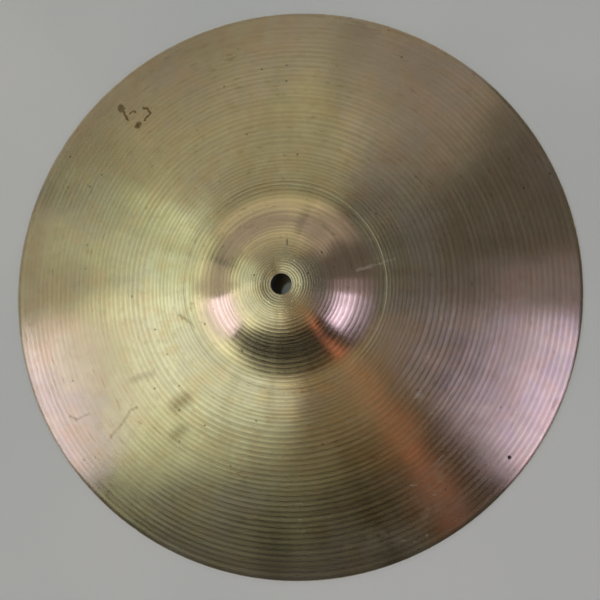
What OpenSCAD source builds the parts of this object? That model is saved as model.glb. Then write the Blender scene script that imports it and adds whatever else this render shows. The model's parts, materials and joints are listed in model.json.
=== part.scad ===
// Crash cymbal: one sheet of lathed bronze with a bell, a bow and a thin edge.
// Millimetres. The rim stands on z = 0, and the bell points along +Z.

/* [Cymbal] */
// Diameter over the rim (14 inches)
cymbal_diameter = 355.6; // [330.2:12.7:406.4]
// Height of the top seat above the surface the rim stands on
cymbal_height = 25.1; // [24:0.1:27]
// Height that the bow would reach on the axis if there were no bell
bow_height = 17.4; // [15:0.2:18]

/* [Bell] */
// Radius of the rounded shoulder that runs from the flat seat down the side of the bell
bell_curve_radius = 78; // [72:1:84]
// Radius of the hollow curve where the bell meets the bow
bell_root_radius = 76; // [66:1:86]
// Diameter of the flat seat for the stand's felt and washer
seat_diameter = 23; // [20:0.5:26]

/* [Centre hole] */
// Diameter of the centre hole
hole_diameter = 12.5; // [11:0.1:14.5]
// Width of the small chamfer at both ends of the hole
hole_chamfer = 0.2; // [0.1:0.05:0.3]

/* [Thickness] */
// Thickness of the bell
bell_thickness = 1.25; // [1:0.05:1.6]
// Thickness of the bow next to the bell
bow_thickness = 1.1; // [0.9:0.05:1.4]
// Thickness of the edge
edge_thickness = 0.75; // [0.6:0.05:0.9]
// Width of the flat ring of the edge that touches a table
foot_width = 0.8; // [0.5:0.1:1.5]

/* [Hidden] */
rim_radius = cymbal_diameter / 2;
hole_radius = hole_diameter / 2;
seat_radius = seat_diameter / 2;
foot_radius = rim_radius - foot_width;
// Height of the flat underside of the seat
under_seat = cymbal_height - bell_thickness;
// Number of straight steps in each curve of the outline
bell_steps = 12;
root_steps = 12;
bow_steps = 24;

// A circle is [distance of its centre from the axis, height of its centre, radius].

// Circle of a bow face through its height on the axis and its height at the outer radius
function bow_circle(axis_height, outer_height, outer_radius) =
    let (
        rise = axis_height - outer_height,
        curve_radius = (pow(outer_radius, 2) + pow(rise, 2)) / (2 * rise)
    )
    [0, axis_height - curve_radius, curve_radius];

// Circle of the bell's shoulder, which leaves the flat seat without an edge
function bell_circle(seat_height, curve_radius) = [seat_radius, seat_height - curve_radius, curve_radius];

// Circle of the hollow root, which touches the bell's circle and the bow's circle from outside
function root_circle(bell, bow, curve_radius) =
    let (
        across = bow[0] - bell[0],
        up = bow[1] - bell[1],
        distance = sqrt(pow(across, 2) + pow(up, 2)),
        to_bell = bell[2] + curve_radius,
        to_bow = bow[2] + curve_radius,
        along = (pow(to_bell, 2) - pow(to_bow, 2) + pow(distance, 2)) / (2 * distance),
        aside = sqrt(pow(to_bell, 2) - pow(along, 2))
    )
    [
        bell[0] + (across * along - up * aside) / distance,
        bell[1] + (up * along + across * aside) / distance,
        curve_radius
    ];

// Radius from the axis at which two touching circles meet
function touch_radius(a, b) = a[0] + (b[0] - a[0]) * a[2] / (a[2] + b[2]);

// Upper or lower half of a circle, as points from one radius to another. Side is 1 or -1.
function arc_points(circle, side, from_r, to_r, steps) =
    [for (i = [0:steps])
        let (r = from_r + (to_r - from_r) * i / steps)
        [r, circle[1] + side * sqrt(pow(circle[2], 2) - pow(r - circle[0], 2))]];

// A list of points without its first one
function after_first(points) = [for (i = [1:len(points) - 1]) points[i]];

function reversed(points) = [for (i = [len(points) - 1:-1:0]) points[i]];

// One face of the cymbal from the seat out to its outer radius
function face_points(bell, bow, root_radius, outer_radius) =
    let (
        root = root_circle(bell, bow, root_radius),
        bell_end = touch_radius(bell, root),
        bow_start = touch_radius(bow, root)
    )
    concat(
        arc_points(bell, 1, seat_radius, bell_end, bell_steps),
        after_first(arc_points(root, -1, bell_end, bow_start, root_steps)),
        after_first(arc_points(bow, 1, bow_start, outer_radius, bow_steps))
    );

module cymbal_outline() {
    top_face = face_points(
        bell_circle(cymbal_height, bell_curve_radius),
        bow_circle(bow_height, edge_thickness, rim_radius),
        bell_root_radius,
        rim_radius
    );
    under_face = face_points(
        bell_circle(under_seat, bell_curve_radius - bell_thickness),
        bow_circle(bow_height - bow_thickness, 0, foot_radius),
        bell_root_radius + bell_thickness,
        foot_radius
    );
    hole_side = [
        [hole_radius + hole_chamfer, under_seat],
        [hole_radius, under_seat + hole_chamfer],
        [hole_radius, cymbal_height - hole_chamfer],
        [hole_radius + hole_chamfer, cymbal_height]
    ];
    polygon(concat(hole_side, top_face, [[rim_radius, 0]], reversed(under_face)));
}

module cymbal() {
    color("#b3a878")
        rotate_extrude($fn = 180)
            cymbal_outline();
}

cymbal();
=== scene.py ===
"""Crash cymbal: one lathed bronze sheet that replaces the plain CAD solid, with its floor, lights and camera.

Lengths are in metres in the CAD frame: the rim stands on z = 0 and +Z points up through the bell.
"""

import json
import math
import random
from types import SimpleNamespace

import bpy
import numpy as np
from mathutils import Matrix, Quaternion, Vector


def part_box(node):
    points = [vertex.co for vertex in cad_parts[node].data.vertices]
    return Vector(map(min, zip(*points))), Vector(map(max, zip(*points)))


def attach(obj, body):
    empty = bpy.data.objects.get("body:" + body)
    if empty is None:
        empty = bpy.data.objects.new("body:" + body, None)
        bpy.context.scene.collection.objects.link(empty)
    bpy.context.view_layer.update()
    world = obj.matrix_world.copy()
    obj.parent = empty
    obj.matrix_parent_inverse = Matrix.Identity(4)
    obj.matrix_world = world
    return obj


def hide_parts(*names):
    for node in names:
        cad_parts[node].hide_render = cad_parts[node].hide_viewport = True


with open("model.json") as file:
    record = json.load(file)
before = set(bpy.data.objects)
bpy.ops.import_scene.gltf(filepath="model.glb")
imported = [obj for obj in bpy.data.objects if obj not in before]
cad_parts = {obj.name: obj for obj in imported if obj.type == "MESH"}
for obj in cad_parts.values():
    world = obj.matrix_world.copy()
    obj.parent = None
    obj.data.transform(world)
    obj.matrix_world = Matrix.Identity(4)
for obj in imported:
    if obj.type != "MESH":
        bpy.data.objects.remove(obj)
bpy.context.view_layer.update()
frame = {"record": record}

MM = 0.001

# ---------------------------------------------------------------- sizes
RIM_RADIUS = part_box("cymbal")[1].x
SEAT_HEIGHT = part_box("cymbal")[1].z
MOUNTS = {mount["name"]: mount for mount in frame["record"]["mounts"]}
HOLE_RADIUS = MOUNTS["centre_hole"]["dims"]["r_mm"] * MM
UNDER_SEAT_HEIGHT = MOUNTS["under_seat"]["pos_m"][2]
BELL_THICKNESS = SEAT_HEIGHT - UNDER_SEAT_HEIGHT
SEAT_RADIUS = 11.5 * MM
BELL_CURVE_RADIUS = 78 * MM
BELL_ROOT_RADIUS = 76 * MM
BOW_HEIGHT = 17.4 * MM
BOW_THICKNESS = 1.1 * MM
EDGE_THICKNESS = 0.75 * MM
FOOT_WIDTH = 0.8 * MM
HOLE_ROUNDING = 0.35 * MM
RIM_ROUNDING = 0.45 * EDGE_THICKNESS


# ---------------------------------------------------------------- smooth outline
# A circle is (distance of its centre from the axis, height of its centre, radius).
def bow_circle(axis_height, outer_height, outer_radius):
    """Circle of a bow face through its height on the axis and its height at the outer radius."""
    rise = axis_height - outer_height
    curve_radius = (outer_radius ** 2 + rise ** 2) / (2 * rise)
    return 0.0, axis_height - curve_radius, curve_radius


def bell_circle(seat_height, curve_radius):
    """Circle of the bell's shoulder, which leaves the flat seat without an edge."""
    return SEAT_RADIUS, seat_height - curve_radius, curve_radius


def root_circle(bell, bow, curve_radius):
    """Circle of the hollow root, which touches the bell's and the bow's circles from outside."""
    across = bow[0] - bell[0]
    up = bow[1] - bell[1]
    distance = math.hypot(across, up)
    to_bell = bell[2] + curve_radius
    to_bow = bow[2] + curve_radius
    along = (to_bell ** 2 - to_bow ** 2 + distance ** 2) / (2 * distance)
    aside = math.sqrt(to_bell ** 2 - along ** 2)
    return (bell[0] + (across * along - up * aside) / distance,
            bell[1] + (up * along + across * aside) / distance,
            curve_radius)


def touch_radius(a, b):
    """Distance from the axis at which two touching circles meet."""
    return a[0] + (b[0] - a[0]) * a[2] / (a[2] + b[2])


def half_circle(circle, side, r):
    """Height of the upper (side 1) or lower (side -1) half of a circle."""
    return circle[1] + side * math.sqrt(circle[2] ** 2 - (r - circle[0]) ** 2)


def face(bell, bow, root_radius):
    """A function that gives the height of one smooth face at any distance from the axis."""
    root = root_circle(bell, bow, root_radius)
    bell_end = touch_radius(bell, root)
    bow_start = touch_radius(bow, root)

    def height(r):
        if r < SEAT_RADIUS:
            return bell[1] + bell[2]
        if r < bell_end:
            return half_circle(bell, 1, r)
        if r < bow_start:
            return half_circle(root, -1, r)
        return half_circle(bow, 1, r)

    return height


top_face = face(bell_circle(SEAT_HEIGHT, BELL_CURVE_RADIUS),
                bow_circle(BOW_HEIGHT, EDGE_THICKNESS, RIM_RADIUS),
                BELL_ROOT_RADIUS)
under_face = face(bell_circle(UNDER_SEAT_HEIGHT, BELL_CURVE_RADIUS - BELL_THICKNESS),
                  bow_circle(BOW_HEIGHT - BOW_THICKNESS, 0, RIM_RADIUS - FOOT_WIDTH),
                  BELL_ROOT_RADIUS + BELL_THICKNESS)


# ---------------------------------------------------------------- lathe grooves
# Zones from the hole out: outer radius, groove pitch and groove depth
TOP_GROOVES = [
    (21 * MM, 1.6 * MM, 0.040 * MM),
    (36 * MM, 2.2 * MM, 0.038 * MM),
    (53 * MM, 2.9 * MM, 0.034 * MM),
    (64 * MM, 2.4 * MM, 0.022 * MM),
    (82 * MM, 2.4 * MM, 0.024 * MM),
    (107 * MM, 3.4 * MM, 0.026 * MM),
    (133 * MM, 3.1 * MM, 0.022 * MM),
    (156 * MM, 3.3 * MM, 0.014 * MM),
    (175 * MM, 3.3 * MM, 0.0065 * MM),
]
UNDER_GROOVES = [
    (13 * MM, 2.6 * MM, 0.012 * MM),
    (53 * MM, 3.4 * MM, 0.045 * MM),
    (64 * MM, 3.6 * MM, 0.015 * MM),
    (150 * MM, 3.8 * MM, 0.036 * MM),
    (175 * MM, 4.2 * MM, 0.020 * MM),
]
# Rings of the mesh across each groove, and the seeds of the two faces' grooves
TOP_GROOVE_STEPS = 6
UNDER_GROOVE_STEPS = 3
TOP_SEED = 11
UNDER_SEED = 23
# Largest random change of a groove's pitch and depth, as a share, and its largest lean to one side
PITCH_SPREAD = 0.06
DEPTH_SPREAD = 0.22
LEAN_SPREAD = 0.25
# Fine raised beads round the foot of the bell: radius, half-width and height
BEADS = [
    (59.6 * MM, 0.5 * MM, 0.030 * MM),
    (62.4 * MM, 0.5 * MM, 0.048 * MM),
    (64.6 * MM, 0.5 * MM, 0.030 * MM),
]
BEAD_STEPS = 6


def lathe_rings(height, zones, steps, start, end, side, seed):
    """Rings (radius, height, groove share) of a face from the hole to the rim.

    The lathe's round tool leaves scoops with ridges between them. The scoops of the top (side 1)
    go down and those of the underside (side -1) go up. The groove share is 0 on a ridge and about
    1 at the bottom of a scoop.
    """
    chance = random.Random(seed)
    rings = []
    r = start
    for outer, pitch, depth in zones:
        while r < min(outer, end - pitch / 2):
            width = min(pitch * (1 + chance.uniform(-PITCH_SPREAD, PITCH_SPREAD)), end - r)
            share = 1 + chance.uniform(-DEPTH_SPREAD, DEPTH_SPREAD)
            lean = chance.uniform(-LEAN_SPREAD, LEAN_SPREAD)
            for step in range(steps):
                along = step / steps
                scoop = 4 * along * (1 - along) * (1 + lean * (2 * along - 1)) * share
                here = r + width * along
                rings.append((here, height(here) - side * depth * scoop, scoop))
            r += width
    rings.append((end, height(end), 0.0))
    return rings


def beaded(rings):
    """The top face's rings with the beads added, and with enough rings across each bead."""
    for middle, half, height in BEADS:
        kept = [ring for ring in rings if abs(ring[0] - middle) > half]
        radii, heights, _ = zip(*rings)
        for step in range(BEAD_STEPS + 1):
            across = 2 * step / BEAD_STEPS - 1
            r = middle + across * half
            bump = height * (0.5 + 0.5 * math.cos(math.pi * across))
            kept.append((r, float(np.interp(r, radii, heights)) + bump, 0.0))
        rings = sorted(kept)
    return rings


# ---------------------------------------------------------------- rim, hole and hammering
SPOKES = 160
# Nicks in the rim: direction in degrees, width and depth
NICKS = [
    (-145.2, 1.5 * MM, 0.45 * MM),
    (-134.0, 1.0 * MM, 0.20 * MM),
    (-122.1, 1.0 * MM, 0.25 * MM),
    (-2.8, 1.1 * MM, 0.25 * MM),
]
# Extra spokes at a nick, in nick widths from its middle
NICK_SPOKES = (-1.6, -0.8, 0, 0.8, 1.6)
NICK_SPREAD = 0.6
NICK_REACH = 1.2 * MM
HAMMER_SEED = 5
HAMMER_WAVES = 16
HAMMER_HEIGHT = 0.020 * MM
HAMMER_LENGTHS = (24 * MM, 70 * MM)
# The hammering fades out towards the seat and towards a plain strip at the rim
CALM_FADE = 13 * MM
CALM_EDGE = 2 * MM
# A shallow hollow runs round the foot of the bell: radius, half-width and depth
FOOT_HOLLOW = (57.5 * MM, 5.5 * MM, 0.2 * MM)
# The seat is dished towards the hole: outer radius and depth
SEAT_DISH = (12.5 * MM, 0.2 * MM)
CORNER_STEPS = 4


def corner(radius_at, height_at, rounding):
    """Rings of a quarter-round corner. Both functions take a ring's two distances from the sharp corner."""
    rings = []
    for step in range(1, CORNER_STEPS):
        turn = math.radians(90 * step / CORNER_STEPS)
        first = rounding * (1 - math.sin(turn))
        second = rounding * (1 - math.cos(turn))
        rings.append((radius_at(first, second), height_at(first, second), 0.0))
    return rings


def rim_rings():
    """Rings of the rounded edge, from the top face down to the foot ring that stands on the floor."""
    upper = corner(lambda a, b: RIM_RADIUS - a, lambda a, b: EDGE_THICKNESS - b, RIM_ROUNDING)
    lower = corner(lambda a, b: RIM_RADIUS - b, lambda a, b: a, RIM_ROUNDING)
    return upper + [(RIM_RADIUS, EDGE_THICKNESS / 2, 0.0)] + lower


def hole_rings():
    """Rings of the hole's wall with both of its ends rounded over, from the underside up."""
    lower = corner(lambda a, b: HOLE_RADIUS + a, lambda a, b: UNDER_SEAT_HEIGHT + b, HOLE_ROUNDING)
    upper = corner(lambda a, b: HOLE_RADIUS + b, lambda a, b: SEAT_HEIGHT - a, HOLE_ROUNDING)
    wall = [(HOLE_RADIUS, UNDER_SEAT_HEIGHT + HOLE_ROUNDING, 0.0),
            (HOLE_RADIUS, SEAT_HEIGHT - HOLE_ROUNDING, 0.0)]
    return lower + wall + upper


def spoke_angles():
    """Angles of the mesh's spokes: even all round, with a few more at each nick."""
    angles = [2 * math.pi * step / SPOKES for step in range(SPOKES)]
    for degrees, width, _ in NICKS:
        for step in NICK_SPOKES:
            angles.append((math.radians(degrees) + step * width / RIM_RADIUS) % (2 * math.pi))
    return np.array(sorted(angles))


def hammering(x, y):
    """Gentle unevenness left by the hammer, as a sum of seeded waves."""
    chance = random.Random(HAMMER_SEED)
    total = np.zeros_like(x)
    for _ in range(HAMMER_WAVES):
        length = chance.uniform(*HAMMER_LENGTHS)
        heading = chance.uniform(0, 2 * math.pi)
        phase = chance.uniform(0, 2 * math.pi)
        along = x * math.cos(heading) + y * math.sin(heading)
        total += np.cos(2 * math.pi * along / length + phase) * length / HAMMER_LENGTHS[1]
    return total * HAMMER_HEIGHT


def nick_depth(angle, r):
    """How far the rim is pushed in at a point."""
    near_rim = np.clip(1 - (RIM_RADIUS - r) / NICK_REACH, 0, 1)
    depth = np.zeros_like(angle)
    for degrees, width, deepest in NICKS:
        away = (angle - math.radians(degrees) + math.pi) % (2 * math.pi) - math.pi
        depth += deepest * np.exp(-((away * RIM_RADIUS / (NICK_SPREAD * width)) ** 2))
    return depth * near_rim


def hammered_share(r):
    """How far the hammering shows: 0 on the seat and in the plain strip at the rim, 1 between them."""
    from_rim = np.clip((RIM_RADIUS - CALM_EDGE - r) / CALM_FADE, 0, 1)
    from_seat = np.clip((r - SEAT_RADIUS) / CALM_FADE, 0, 1)
    return from_rim * from_seat


def hollows(r):
    """Depth of the hollow at the bell's foot and of the dish in the seat."""
    foot = FOOT_HOLLOW[2] * np.exp(-(((r - FOOT_HOLLOW[0]) / FOOT_HOLLOW[1]) ** 2))
    dish = SEAT_DISH[1] * np.clip((SEAT_DISH[0] - r) / (SEAT_DISH[0] - HOLE_RADIUS), 0, 1)
    return foot + dish


def sheet_points(ring_r, ring_z, angles):
    """Every point of the sheet, ring after ring."""
    angle, r = np.meshgrid(angles, ring_r)
    r = r - nick_depth(angle, r)
    x = r * np.cos(angle)
    y = r * np.sin(angle)
    z = ring_z[:, None] + hammering(x, y) * hammered_share(r) - hollows(r)
    return np.stack([x, y, z], axis=-1).reshape(-1, 3)


def sheet_faces(ring_count, spoke_count):
    """Four-sided faces between rings and spokes. The last ring joins the first."""
    ring = np.arange(ring_count)[:, None]
    spoke = np.arange(spoke_count)[None, :]
    next_ring = (ring + 1) % ring_count
    next_spoke = (spoke + 1) % spoke_count
    faces = np.stack([ring * spoke_count + spoke, next_ring * spoke_count + spoke,
                      next_ring * spoke_count + next_spoke, ring * spoke_count + next_spoke], axis=-1)
    return faces.reshape(-1, 4)


def make_cymbal():
    """The cymbal's sheet as one closed mesh of rings and spokes."""
    hole_edge = HOLE_RADIUS + HOLE_ROUNDING
    top = lathe_rings(top_face, TOP_GROOVES, TOP_GROOVE_STEPS, hole_edge, RIM_RADIUS - RIM_ROUNDING,
                      side=1, seed=TOP_SEED)
    under = lathe_rings(under_face, UNDER_GROOVES, UNDER_GROOVE_STEPS, hole_edge, RIM_RADIUS - FOOT_WIDTH,
                        side=-1, seed=UNDER_SEED)
    top = beaded(top)
    rings = top + rim_rings() + under[::-1] + hole_rings()
    ring_r, ring_z, ring_groove = (np.array(column) for column in zip(*rings))
    angles = spoke_angles()
    mesh = bpy.data.meshes.new("lathed_cymbal")
    mesh.from_pydata(sheet_points(ring_r, ring_z, angles).tolist(), [],
                     sheet_faces(len(rings), len(angles)).tolist())
    mesh.polygons.foreach_set("use_smooth", [True] * len(mesh.polygons))
    on_top = [1.0] * len(top) + [0.0] * (len(rings) - len(top))
    for name, values in (("groove", ring_groove), ("on_top", on_top)):
        attribute = mesh.attributes.new(name, "FLOAT", "POINT")
        attribute.data.foreach_set("value", np.repeat(values, len(angles)).astype(np.float32))
    mesh.update()
    piece = bpy.data.objects.new("lathed_cymbal", mesh)
    bpy.context.scene.collection.objects.link(piece)
    return piece


# ---------------------------------------------------------------- material helpers
class Graph:
    """Short ways to add nodes to a material. Each method returns an output socket."""

    def __init__(self, name):
        self.material = bpy.data.materials.new(name)
        self.material.use_nodes = True
        self.tree = self.material.node_tree
        self.shader = self.tree.nodes["Principled BSDF"]

    def node(self, kind, settings=None, inputs=None):
        node = self.tree.nodes.new(kind)
        for name, value in (settings or {}).items():
            setattr(node, name, value)
        for name, value in (inputs or {}).items():
            self.feed(node.inputs[name], value)
        return node

    def feed(self, socket, value):
        if isinstance(value, bpy.types.NodeSocket):
            self.tree.links.new(value, socket)
        else:
            socket.default_value = value

    def math(self, operation, a, b=0.0, clamp=False):
        node = self.node("ShaderNodeMath", {"operation": operation, "use_clamp": clamp})
        self.feed(node.inputs[0], a)
        self.feed(node.inputs[1], b)
        return node.outputs[0]

    def times(self, a, b):
        return self.math("MULTIPLY", a, b)

    def vector(self, operation, a, b=(0, 0, 0)):
        node = self.node("ShaderNodeVectorMath", {"operation": operation})
        self.feed(node.inputs[0], a)
        self.feed(node.inputs[1], b)
        return node.outputs["Value" if operation in ("LENGTH", "DISTANCE", "DOT_PRODUCT") else "Vector"]

    def scaled(self, vector, scale):
        node = self.node("ShaderNodeVectorMath", {"operation": "SCALE"})
        self.feed(node.inputs[0], vector)
        self.feed(node.inputs["Scale"], scale)
        return node.outputs["Vector"]

    def ramp(self, value, low, high, to_low=0.0, to_high=1.0):
        node = self.node("ShaderNodeMapRange", {"interpolation_type": "SMOOTHSTEP"}, {
            "Value": value, "From Min": low, "From Max": high, "To Min": to_low, "To Max": to_high})
        return node.outputs["Result"]

    def noise(self, place, size, detail=3.0, roughness=0.55):
        node = self.node("ShaderNodeTexNoise", None, {
            "Vector": place, "Scale": 1 / size, "Detail": detail, "Roughness": roughness})
        return node.outputs["Fac"]

    def mix(self, share, a, b):
        node = self.node("ShaderNodeMix", {"data_type": "RGBA"})
        sockets = {socket.identifier: socket for socket in node.inputs}
        self.feed(sockets["Factor_Float"], share)
        self.feed(sockets["A_Color"], a)
        self.feed(sockets["B_Color"], b)
        return next(socket for socket in node.outputs if socket.identifier == "Result_Color")

    def most(self, values):
        """The largest of several values."""
        result = values[0]
        for value in values[1:]:
            result = self.math("MAXIMUM", result, value)
        return result

    def attribute(self, name):
        return self.node("ShaderNodeAttribute", {"attribute_name": name}).outputs["Fac"]

    def relief(self, height, distance, strength=1.0):
        """Bump the shader's surface."""
        bump = self.node("ShaderNodeBump", None, {
            "Strength": strength, "Distance": distance, "Height": height})
        self.feed(self.shader.inputs["Normal"], bump.outputs["Normal"])


# Keeps a stroke of no length, such as a round dot, from a division by zero
TINY = 1e-12


def stroke_mask(graph, place, start, end, width, softness):
    """1 inside a straight round-ended stroke and 0 outside it. Ends and width are in millimetres.

    The edge fades over the softness, a share of the half-width, both inwards and outwards.
    """
    a = Vector((start[0], start[1], 0)) * MM
    run = Vector((end[0], end[1], 0)) * MM - a
    from_a = graph.vector("SUBTRACT", place, tuple(a))
    share = graph.vector("DOT_PRODUCT", from_a, tuple(run / max(run.length_squared, TINY)))
    share = graph.math("ADD", share, 0.0, clamp=True)
    away = graph.vector("DISTANCE", from_a, graph.scaled(tuple(run), share))
    half = width * MM / 2
    return graph.ramp(away, half * (1 + softness), half * (1 - softness))


def strokes_mask(graph, place, strokes, softness):
    """Several strokes in one mask. Each is (start, end, width)."""
    return graph.most([stroke_mask(graph, place, *stroke, softness) for stroke in strokes])


# ---------------------------------------------------------------- marks on the bronze
# Strokes on the top face: start, end and width, all in millimetres seen from above
BROWN_STAINS = [
    ((-110.2, 119.0), (-109.2, 117.6), 4.2),
    ((-107.6, 115.2), (-104.4, 109.9), 1.5),
    ((-103.1, 114.3), (-101.2, 115.8), 1.3),
    ((-101.2, 115.8), (-98.9, 115.0), 1.3),
    ((-94.4, 117.5), (-91.0, 116.6), 1.5),
    ((-91.0, 116.6), (-89.0, 113.4), 1.6),
    ((-89.0, 113.4), (-92.6, 108.9), 1.5),
    ((-96.2, 106.4), (-97.4, 105.2), 3.6),
]
GREY_SMUDGES = [
    ((-66.4, -73.1), (-59.9, -68.2), 7.0),
    ((-67.1, -90.8), (-62.6, -86.5), 6.0),
    ((-64.8, -17.6), (-59.6, -20.7), 1.8),
    ((-59.6, -20.7), (-54.4, -25.0), 1.6),
    ((-137.9, -80.9), (-133.0, -83.1), 1.6),
    ((-133.0, -83.1), (-125.2, -79.3), 1.4),
    ((-95.2, -57.6), (-82.0, -53.8), 4.0),
    ((-109.5, -93.2), (-100.6, -83.1), 1.7),
    ((-100.6, -83.1), (-95.9, -76.1), 1.7),
    ((-95.9, -76.1), (-92.2, -74.4), 1.4),
    ((-23.2, 34.8), (-18.8, 36.5), 1.9),
    ((24.0, 36.0), (31.0, 30.0), 1.4),
]
DARK_CUTS = [
    ((3.2, 26.6), (3.4, 23.6), 0.9),
    ((9.9, -30.7), (15.9, -28.0), 0.75),
    ((20.6, -23.9), (22.9, -22.4), 0.8),
    ((3.4, -33.7), (7.6, -33.4), 0.6),
]
PALE_SCUFFS = [
    ((45.0, 8.7), (53.3, 11.3), 1.8),
    ((53.3, 11.3), (67.5, 15.7), 1.1),
    ((0.8, -26.6), (2.2, -27.6), 1.2),
    ((87.2, -107.6), (94.8, -99.9), 0.7),
    ((80.4, -65.5), (80.8, -65.1), 3.0),
    ((88.8, -123.8), (90.4, -123.4), 1.1),
    ((75.4, -118.3), (79.0, -118.0), 0.8),
    ((70.4, -151.0), (71.4, -150.6), 1.3),
    ((77.1, -151.1), (78.0, -151.3), 1.2),
    ((84.2, -148.0), (84.9, -147.4), 1.2),
]
DUST_PATCHES = [
    ((34.0, -158.0), (74.0, -146.0), 20.0),
    ((86.0, -136.0), (92.0, -110.0), 14.0),
]
ROUND_PIT = ((132.8, -101.1), (132.8, -101.1), 2.2)

BRONZE = (0.69, 0.61, 0.41, 1)
# The bell's colour is clean bronze, made much brighter than the rest as a painted highlight
CLEAN_BELL_AND_PAINTED_HIGHLIGHT = (0.97, 0.80, 0.54, 1)
INNER_BRONZE = (0.70, 0.63, 0.475, 1)
DULL_BRONZE = (0.55, 0.475, 0.30, 1)
WARM_BRONZE = (0.68, 0.53, 0.34, 1)
GREY_BRONZE = (0.60, 0.52, 0.43, 1)
GROOVE_DIRT = (0.36, 0.29, 0.17, 1)
FLECK_BROWN = (0.40, 0.25, 0.12, 1)
SMUDGE_OLIVE = (0.30, 0.235, 0.12, 1)
STAIN_BROWN = (0.17, 0.11, 0.035, 1)
SOOT = (0.035, 0.026, 0.020, 1)
SCUFF = (0.80, 0.78, 0.68, 1)


# Bands round the axis: (starts, full) and (starts to fade, gone), as distances from the axis
# The bell band is also where the bell's painted highlight is laid
BELL_BAND = ((22 * MM, 31 * MM), (52 * MM, 58 * MM))
NEAR_BELL_BAND = ((56 * MM, 62 * MM), (84 * MM, 115 * MM))
SEAT_BAND = ((7 * MM, 10 * MM), (12 * MM, 20 * MM))
RIM_GRIME_WIDTH = 2.6 * MM
SPECK_CELL = 8 * MM
# The marks' edges are torn by noise of this grain, and by up to half this shift
RAGGED_GRAIN = 2.2 * MM
RAGGED_SHIFT = 2.4 * MM
# Moves the grey clouds' noise away from the other clouds'
ELSEWHERE = (0.7, 0.3, 0.0)
POLISHED_ROUGHNESS = 0.125
FINE_RELIEF = 0.002 * MM
# A speck or pit is this many times as deep as the fine lines
BLACK_DEPTH = 9.0


def band_mask(graph, radius, rise, fall):
    """1 between two distances from the axis. Rise and fall are (start, end) pairs."""
    return graph.times(graph.ramp(radius, *rise), graph.ramp(radius, fall[1], fall[0]))


def bronze_fields(graph):
    """Places, masks and noises that several parts of the bronze read."""
    place = graph.node("ShaderNodeTexCoord").outputs["Object"]
    on_plan = graph.vector("MULTIPLY", place, (1, 1, 0))
    radius = graph.vector("LENGTH", on_plan)
    heading = graph.node("ShaderNodeSeparateXYZ", None, {"Vector": graph.vector("NORMALIZE", on_plan)})

    def turned(across, around):
        """Place for noise of a size across the grooves, with a number of patches round the axis."""
        joined = graph.node("ShaderNodeCombineXYZ", None, {
            "X": graph.math("DIVIDE", radius, across),
            "Y": graph.times(heading.outputs["X"], around),
            "Z": graph.times(heading.outputs["Y"], around)})
        return joined.outputs["Vector"]

    elsewhere = graph.vector("ADD", place, ELSEWHERE)
    return SimpleNamespace(
        place=place,
        on_plan=on_plan,
        radius=radius,
        groove=graph.attribute("groove"),
        on_top=graph.attribute("on_top"),
        on_bell=graph.times(band_mask(graph, radius, *BELL_BAND), 0.8),
        fine_lines=graph.noise(turned(2.4 * MM, 1.0), 1.0, detail=0.0),
        bands=graph.noise(turned(9 * MM, 0.9), 1.0, detail=2.0),
        flecks=graph.noise(turned(1.6 * MM, 14.0), 1.0, detail=1.0),
        radial_smears=graph.noise(turned(70 * MM, 6.0), 1.0, detail=2.0, roughness=0.6),
        clouds=graph.noise(place, 55 * MM, detail=4.0, roughness=0.6),
        grey_clouds=graph.noise(elsewhere, 80 * MM, detail=4.0, roughness=0.65),
        blotches=graph.noise(place, 16 * MM, detail=5.0, roughness=0.6),
        spots=graph.noise(place, 6 * MM, detail=3.0, roughness=0.6),
        grain=graph.noise(place, 1.8 * MM, detail=2.0))


def patina_colour(graph, field):
    """The bronze's colour: a clear bell, made brighter still as a painted highlight, tarnish in clouds and
    smears, dirt in the grooves.
    """
    colour = graph.mix(band_mask(graph, field.radius, *NEAR_BELL_BAND), BRONZE, INNER_BRONZE)
    colour = graph.mix(graph.ramp(field.clouds, 0.42, 0.64, 0.0, 0.5), colour, DULL_BRONZE)
    colour = graph.mix(graph.ramp(field.grey_clouds, 0.46, 0.58, 0.0, 0.5), colour, GREY_BRONZE)
    colour = graph.mix(graph.ramp(field.blotches, 0.47, 0.61, 0.0, 0.55), colour, WARM_BRONZE)
    colour = graph.mix(graph.ramp(field.radial_smears, 0.5, 0.7, 0.0, 0.22), colour, DULL_BRONZE)
    colour = graph.mix(graph.ramp(field.spots, 0.52, 0.64, 0.0, 0.35), colour, DULL_BRONZE)
    # The bell band turns to clean bronze brightened as a painted highlight
    colour = graph.mix(field.on_bell, colour, CLEAN_BELL_AND_PAINTED_HIGHLIGHT)
    colour = graph.mix(graph.ramp(field.flecks, 0.66, 0.74, 0.0, 0.4), colour, FLECK_BROWN)
    dirt = graph.times(graph.ramp(field.groove, 0.2, 1.0), graph.ramp(field.bands, 0.3, 0.7, 0.05, 0.18))
    colour = graph.mix(dirt, colour, GROOVE_DIRT)
    return graph.mix(graph.ramp(field.fine_lines, 0.5, 0.75, 0.0, 0.25), colour, DULL_BRONZE)


def speck_mask(graph, field):
    """Dark specks: each small cell has one chance of a dot."""
    cells = graph.node("ShaderNodeTexVoronoi", {"feature": "F1", "voronoi_dimensions": "2D"},
                       {"Vector": field.on_plan, "Scale": 1 / SPECK_CELL})
    chance = graph.node("ShaderNodeSeparateColor", None, {"Color": cells.outputs["Color"]})
    dot_size = graph.ramp(chance.outputs["Red"], 0.87, 1.0, -0.03, 0.08)
    return graph.ramp(graph.math("SUBTRACT", dot_size, cells.outputs["Distance"]), -0.02, 0.03)


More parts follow.
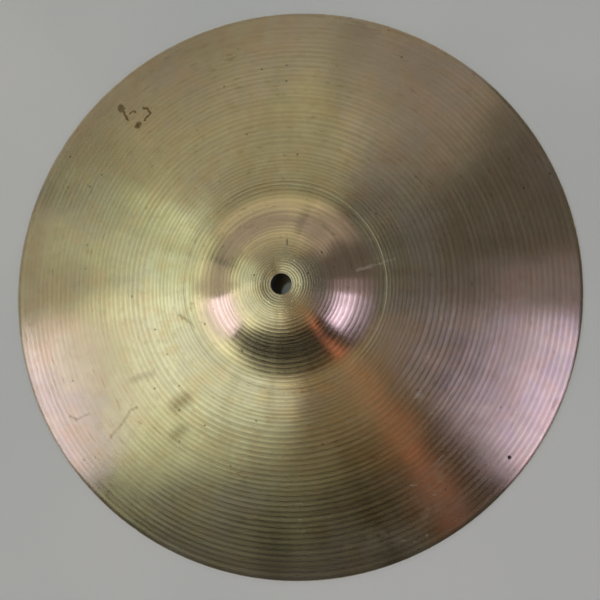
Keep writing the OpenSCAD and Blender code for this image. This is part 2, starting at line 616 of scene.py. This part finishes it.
def mark_masks(graph, field):
    """Masks of the marks. All but the specks lie on the top face only."""
    torn = graph.node("ShaderNodeTexNoise", None, {
        "Vector": field.place, "Scale": 1 / RAGGED_GRAIN, "Detail": 3.0})
    shift = graph.vector("SUBTRACT", torn.outputs["Color"], (0.5, 0.5, 0.5))
    shift = graph.vector("MULTIPLY", shift, (RAGGED_SHIFT, RAGGED_SHIFT, 0))
    ragged = graph.vector("ADD", field.on_plan, shift)

    def top_mask(place, strokes, softness):
        return graph.times(strokes_mask(graph, place, strokes, softness), field.on_top)

    dusty = graph.ramp(field.spots, 0.42, 0.66, 0.15, 1.0)
    specks = graph.times(speck_mask(graph, field), 0.75)
    cuts = graph.times(top_mask(field.on_plan, DARK_CUTS, 0.6), 0.6)
    pit = top_mask(field.on_plan, [ROUND_PIT], 0.25)
    return SimpleNamespace(
        stains=top_mask(ragged, BROWN_STAINS, 0.5),
        smudges=top_mask(ragged, GREY_SMUDGES, 1.1),
        scuffs=top_mask(ragged, PALE_SCUFFS, 0.9),
        dust=graph.times(top_mask(ragged, DUST_PATCHES, 1.0), dusty),
        black=graph.most([specks, cuts, pit]))


def marked_colour(graph, field, marks, colour):
    """The patina's colour with the grime and the marks laid over it."""
    rim_grime = graph.times(graph.ramp(field.radius, RIM_RADIUS - RIM_GRIME_WIDTH, RIM_RADIUS),
                            graph.ramp(field.blotches, 0.3, 0.6, 0.15, 0.5))
    seat_grime = graph.times(band_mask(graph, field.radius, *SEAT_BAND),
                             graph.ramp(field.blotches, 0.45, 0.62, 0.0, 0.4))
    smudge_ink = graph.times(graph.ramp(field.blotches, 0.38, 0.60, 0.25, 0.60),
                             graph.ramp(field.groove, 0.1, 0.8, 0.9, 1.1))
    stain_ink = graph.ramp(field.grain, 0.3, 0.6, 0.7, 1.0)
    colour = graph.mix(graph.times(marks.smudges, smudge_ink), colour, SMUDGE_OLIVE)
    colour = graph.mix(graph.math("MAXIMUM", rim_grime, seat_grime), colour, GROOVE_DIRT)
    colour = graph.mix(graph.times(marks.stains, stain_ink), colour, STAIN_BROWN)
    colour = graph.mix(graph.times(marks.scuffs, 0.32), colour, SCUFF)
    return graph.mix(marks.black, colour, SOOT)


def metal_cover(graph, marks):
    """How far the marks hide the metal."""
    return graph.most([graph.times(marks.stains, 0.5), graph.times(marks.black, 0.2),
                       graph.times(marks.scuffs, 0.25), graph.times(marks.smudges, 0.08),
                       graph.times(marks.dust, 0.18)])


def bare_metal(graph, field, covered):
    """How far the metal shows: less under the marks and under a grey haze, which the bell hardly has."""
    off_bell = graph.math("SUBTRACT", 1.0, field.on_bell)
    haze = graph.times(graph.ramp(field.grey_clouds, 0.42, 0.62, 0.01, 0.10), off_bell)
    return graph.math("SUBTRACT", 1.0, graph.math("MAXIMUM", covered, haze), clamp=True)


def bronze_roughness(graph, field, marks, covered):
    """Rougher in the smears, grooves and smudges, smoother on the bell, and matt under the marks."""
    rough = graph.math("ADD", POLISHED_ROUGHNESS, graph.times(field.radial_smears, 0.10))
    rough = graph.math("ADD", rough, graph.times(field.groove, 0.07))
    rough = graph.math("SUBTRACT", rough, graph.times(field.on_bell, 0.0375))
    rough = graph.math("ADD", rough, graph.times(marks.smudges, 0.03))
    return graph.math("MAXIMUM", rough, graph.times(covered, 0.65))


def bronze_material():
    """Lathed bronze, brushed round the axis."""
    graph = Graph("lathed_bronze")
    field = bronze_fields(graph)
    marks = mark_masks(graph, field)
    covered = metal_cover(graph, marks)
    colour = marked_colour(graph, field, marks, patina_colour(graph, field))
    tangent = graph.node("ShaderNodeTangent", {"direction_type": "RADIAL", "axis": "Z"})
    graph.feed(graph.shader.inputs["Base Color"], colour)
    graph.feed(graph.shader.inputs["Metallic"], bare_metal(graph, field, covered))
    graph.feed(graph.shader.inputs["Roughness"], bronze_roughness(graph, field, marks, covered))
    graph.feed(graph.shader.inputs["Tangent"], tangent.outputs["Tangent"])
    graph.shader.inputs["Anisotropic"].default_value = 0.85
    graph.shader.inputs["Anisotropic Rotation"].default_value = 0.25
    dents = graph.times(marks.black, BLACK_DEPTH)
    graph.relief(graph.math("SUBTRACT", field.fine_lines, dents), FINE_RELIEF)
    return graph.material


# ---------------------------------------------------------------- floor
FLOOR_SIZE = 9.0
FLOOR_GAP = 0.1 * MM
PAPER_SHADE = (0.77, 0.80, 0.76, 1)
PAPER_LIGHT = (0.85, 0.86, 0.82, 1)
PAPER_CLOUD = 0.35
PAPER_FIBRE = 2 * MM
PAPER_RELIEF = 0.1 * MM


def floor_material():
    """Matt pale paper."""
    graph = Graph("pale_paper")
    place = graph.node("ShaderNodeTexCoord").outputs["Object"]
    cloud = graph.noise(place, PAPER_CLOUD)
    colour = graph.mix(graph.ramp(cloud, 0.35, 0.65), PAPER_SHADE, PAPER_LIGHT)
    graph.feed(graph.shader.inputs["Base Color"], colour)
    graph.shader.inputs["Roughness"].default_value = 0.85
    graph.shader.inputs["Specular IOR Level"].default_value = 0.2
    graph.relief(graph.noise(place, PAPER_FIBRE), PAPER_RELIEF, strength=0.25)
    return graph.material


def make_floor():
    """A flat sheet just under the rim."""
    mesh = bpy.data.meshes.new("floor")
    half = FLOOR_SIZE / 2
    corners = [(x, y, -FLOOR_GAP) for x, y in ((-half, -half), (half, -half), (half, half), (-half, half))]
    mesh.from_pydata(corners, [], [(0, 1, 2, 3)])
    floor = bpy.data.objects.new("floor", mesh)
    floor.data.materials.append(floor_material())
    bpy.context.scene.collection.objects.link(floor)


# ---------------------------------------------------------------- lights, room and camera
LIGHT_DISTANCE = 6.0
# Softboxes: direction round +Z and down from +Z, width and height, all in degrees, then brightness
SOFTBOXES = {
    "window_right": (-19, 37, 23.4, 17, (1.36, 1.18, 1.98)),
    "window_right_low": (-28, 42.5, 20, 9, (1.25, 0.98, 1.65)),
    "window_right_side": (9, 33, 10, 14, (0.24, 0.18, 0.26)),
    "window_left": (-164, 51.3, 23.4, 17.6, (1.60, 1.38, 1.90)),
    "ceiling_left": (-165.3, 22.5, 25.1, 28.4, (1.12, 1.22, 0.95)),
    "ceiling_middle": (156.3, 30, 12.9, 19, (0.72, 0.86, 0.61)),
    "ceiling_top": (115.5, 32, 34, 26, (0.44, 0.42, 0.29)),
    "ceiling_right": (69.6, 38.7, 20.8, 24.6, (0.23, 0.195, 0.18)),
    "wall_top": (107.7, 46, 84, 10, (0.13, 0.115, 0.15)),
    "wall_top_low": (107.7, 58, 84, 14, (0.30, 0.25, 0.22)),
    "wall_corner": (147, 47, 12, 14, (0.15, 0.14, 0.09)),
    "wall_right": (37, 37, 39.7, 51.4, (0.074, 0.062, 0.065)),
    "wall_left": (169.3, 48, 17.3, 31, (0.31, 0.28, 0.24)),
    "overhead": (-105, 6, 18, 18, (0.30, 0.20, 0.09)),
}
# A narrow warm strip, in two lengths, that the bronze reflects and that doesn't light the floor
WARM_STRIPS = {
    "warm_strip": (-60, 18.5, 3.2, 19, (0.50, 0.17, 0.11)),
    "warm_strip_end": (-60, 36, 4.5, 16, (0.15, 0.05, 0.035)),
}
# A small lamp that lights the floor and isn't reflected
LAMP = (142, 9, 4, 4, (50, 55, 52))
# The room is pale up to one height above the horizon and dark from another, as sines of the angle
ROOM_DARK = (0.01, 0.01, 0.01, 1)
ROOM_PALE = (0.62, 0.63, 0.63, 1)
ROOM_PALE_TO = 0.28
ROOM_DARK_FROM = 0.45
# The camera looks almost straight down. Its place is in rim radii from the middle of the rim
CAMERA_PLACE = (0.3636, -0.2575, 2.515)
CAMERA_TILT = 8.674
CAMERA_TILT_AXIS = (0.5613, 0.8276, 0)
CAMERA_LENS = 43.57
CAMERA_SENSOR = 36


def direction(azimuth, zenith):
    """Unit vector at an angle from +X round +Z, and an angle down from +Z, in degrees."""
    round_z = math.radians(azimuth)
    down = math.radians(zenith)
    return Vector((math.sin(down) * math.cos(round_z), math.sin(down) * math.sin(round_z), math.cos(down)))


def softbox(name, azimuth, zenith, width, height, radiance):
    """A panel light that faces the cymbal. Width and height are the angles that it fills, in degrees."""
    light = bpy.data.lights.new(name, "AREA")
    light.shape = "RECTANGLE"
    light.size = 2 * LIGHT_DISTANCE * math.tan(math.radians(width / 2))
    light.size_y = 2 * LIGHT_DISTANCE * math.tan(math.radians(height / 2))
    brightest = max(radiance)
    light.color = [channel / brightest for channel in radiance]
    light.energy = brightest * math.pi * light.size * light.size_y
    panel = bpy.data.objects.new(name, light)
    towards = direction(azimuth, zenith)
    panel.location = towards * LIGHT_DISTANCE
    panel.rotation_euler = towards.to_track_quat("Z", "Y").to_euler()
    panel.visible_camera = False
    bpy.context.scene.collection.objects.link(panel)
    return panel


def make_lights():
    for name, values in SOFTBOXES.items():
        softbox(name, *values)
    for name, values in WARM_STRIPS.items():
        softbox(name, *values).visible_diffuse = False
    softbox("lamp", *LAMP).visible_glossy = False


def make_world():
    """A dark room with a pale band round the horizon."""
    world = bpy.data.worlds.new("room")
    world.use_nodes = True
    nodes = world.node_tree.nodes
    links = world.node_tree.links
    place = nodes.new("ShaderNodeTexCoord")
    split = nodes.new("ShaderNodeSeparateXYZ")
    links.new(place.outputs["Generated"], split.inputs["Vector"])
    band = nodes.new("ShaderNodeMapRange")
    band.interpolation_type = "SMOOTHSTEP"
    band.inputs["From Min"].default_value = ROOM_DARK_FROM
    band.inputs["From Max"].default_value = ROOM_PALE_TO
    links.new(split.outputs["Z"], band.inputs["Value"])
    mix = nodes.new("ShaderNodeMix")
    mix.data_type = "RGBA"
    mix.inputs["A"].default_value = ROOM_DARK
    mix.inputs["B"].default_value = ROOM_PALE
    links.new(band.outputs["Result"], mix.inputs["Factor"])
    links.new(mix.outputs["Result"], nodes["Background"].inputs["Color"])
    bpy.context.scene.world = world


def make_camera():
    camera = bpy.data.objects.new("camera", bpy.data.cameras.new("camera"))
    camera.data.lens = CAMERA_LENS
    camera.data.sensor_width = CAMERA_SENSOR
    camera.location = Vector(CAMERA_PLACE) * RIM_RADIUS
    camera.rotation_mode = "QUATERNION"
    camera.rotation_quaternion = Quaternion(CAMERA_TILT_AXIS, math.radians(CAMERA_TILT))
    bpy.context.scene.collection.objects.link(camera)
    bpy.context.scene.camera = camera


# ---------------------------------------------------------------- scene
make_camera()
make_floor()
make_lights()
make_world()
cymbal = make_cymbal()
cymbal.data.materials.append(bronze_material())
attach(cymbal, "root")
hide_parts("cymbal")
bpy.context.scene.view_settings.view_transform = "Standard"
